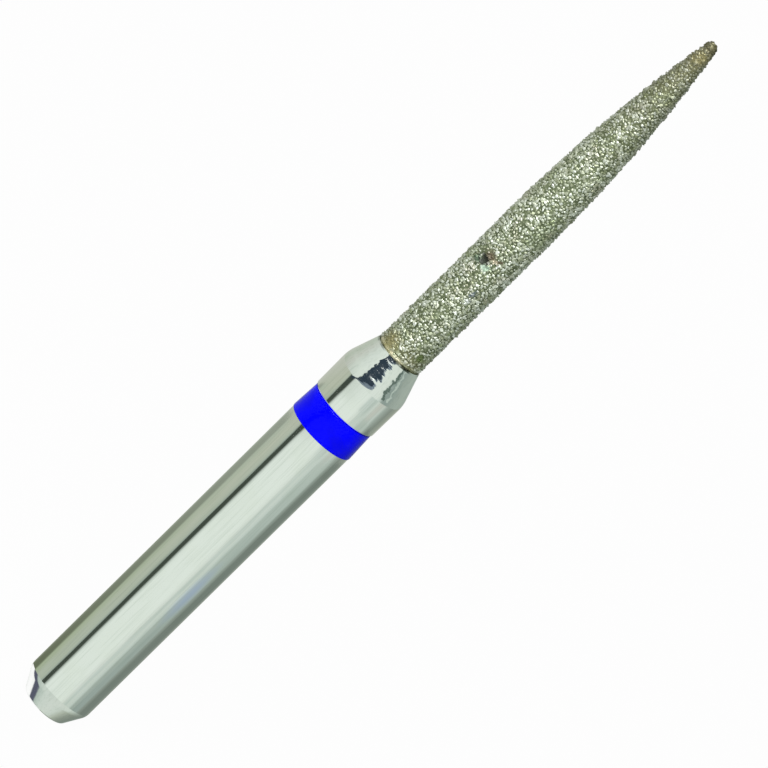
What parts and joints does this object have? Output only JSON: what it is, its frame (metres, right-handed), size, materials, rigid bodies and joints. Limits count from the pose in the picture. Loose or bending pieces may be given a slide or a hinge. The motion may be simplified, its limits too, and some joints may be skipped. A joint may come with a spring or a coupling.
{
  "type": "dental bur",
  "caption": "Friction-grip diamond bur: plain steel shank, blue grit-size ring, conical neck and a flame-shaped head coated with diamond grit.",
  "frame": {"origin": "centre of the shank's end face", "axes": "+Z along the bur's axis, from the shank's end to the head's tip; X and Y are free, because the bur is round"},
  "size_m": [0.0016, 0.0016, 0.0202],
  "materials": {
    "steel": "ground and polished, with fine turning marks",
    "blue_enamel": "gloss enamel",
    "diamond_grit": "rough grit bonded in nickel"
  },
  "bodies": {
    "root": {"steel_blank": "steel", "colour_ring": "blue_enamel", "diamond_coat": "diamond_grit"}
  },
  "joints": []
}
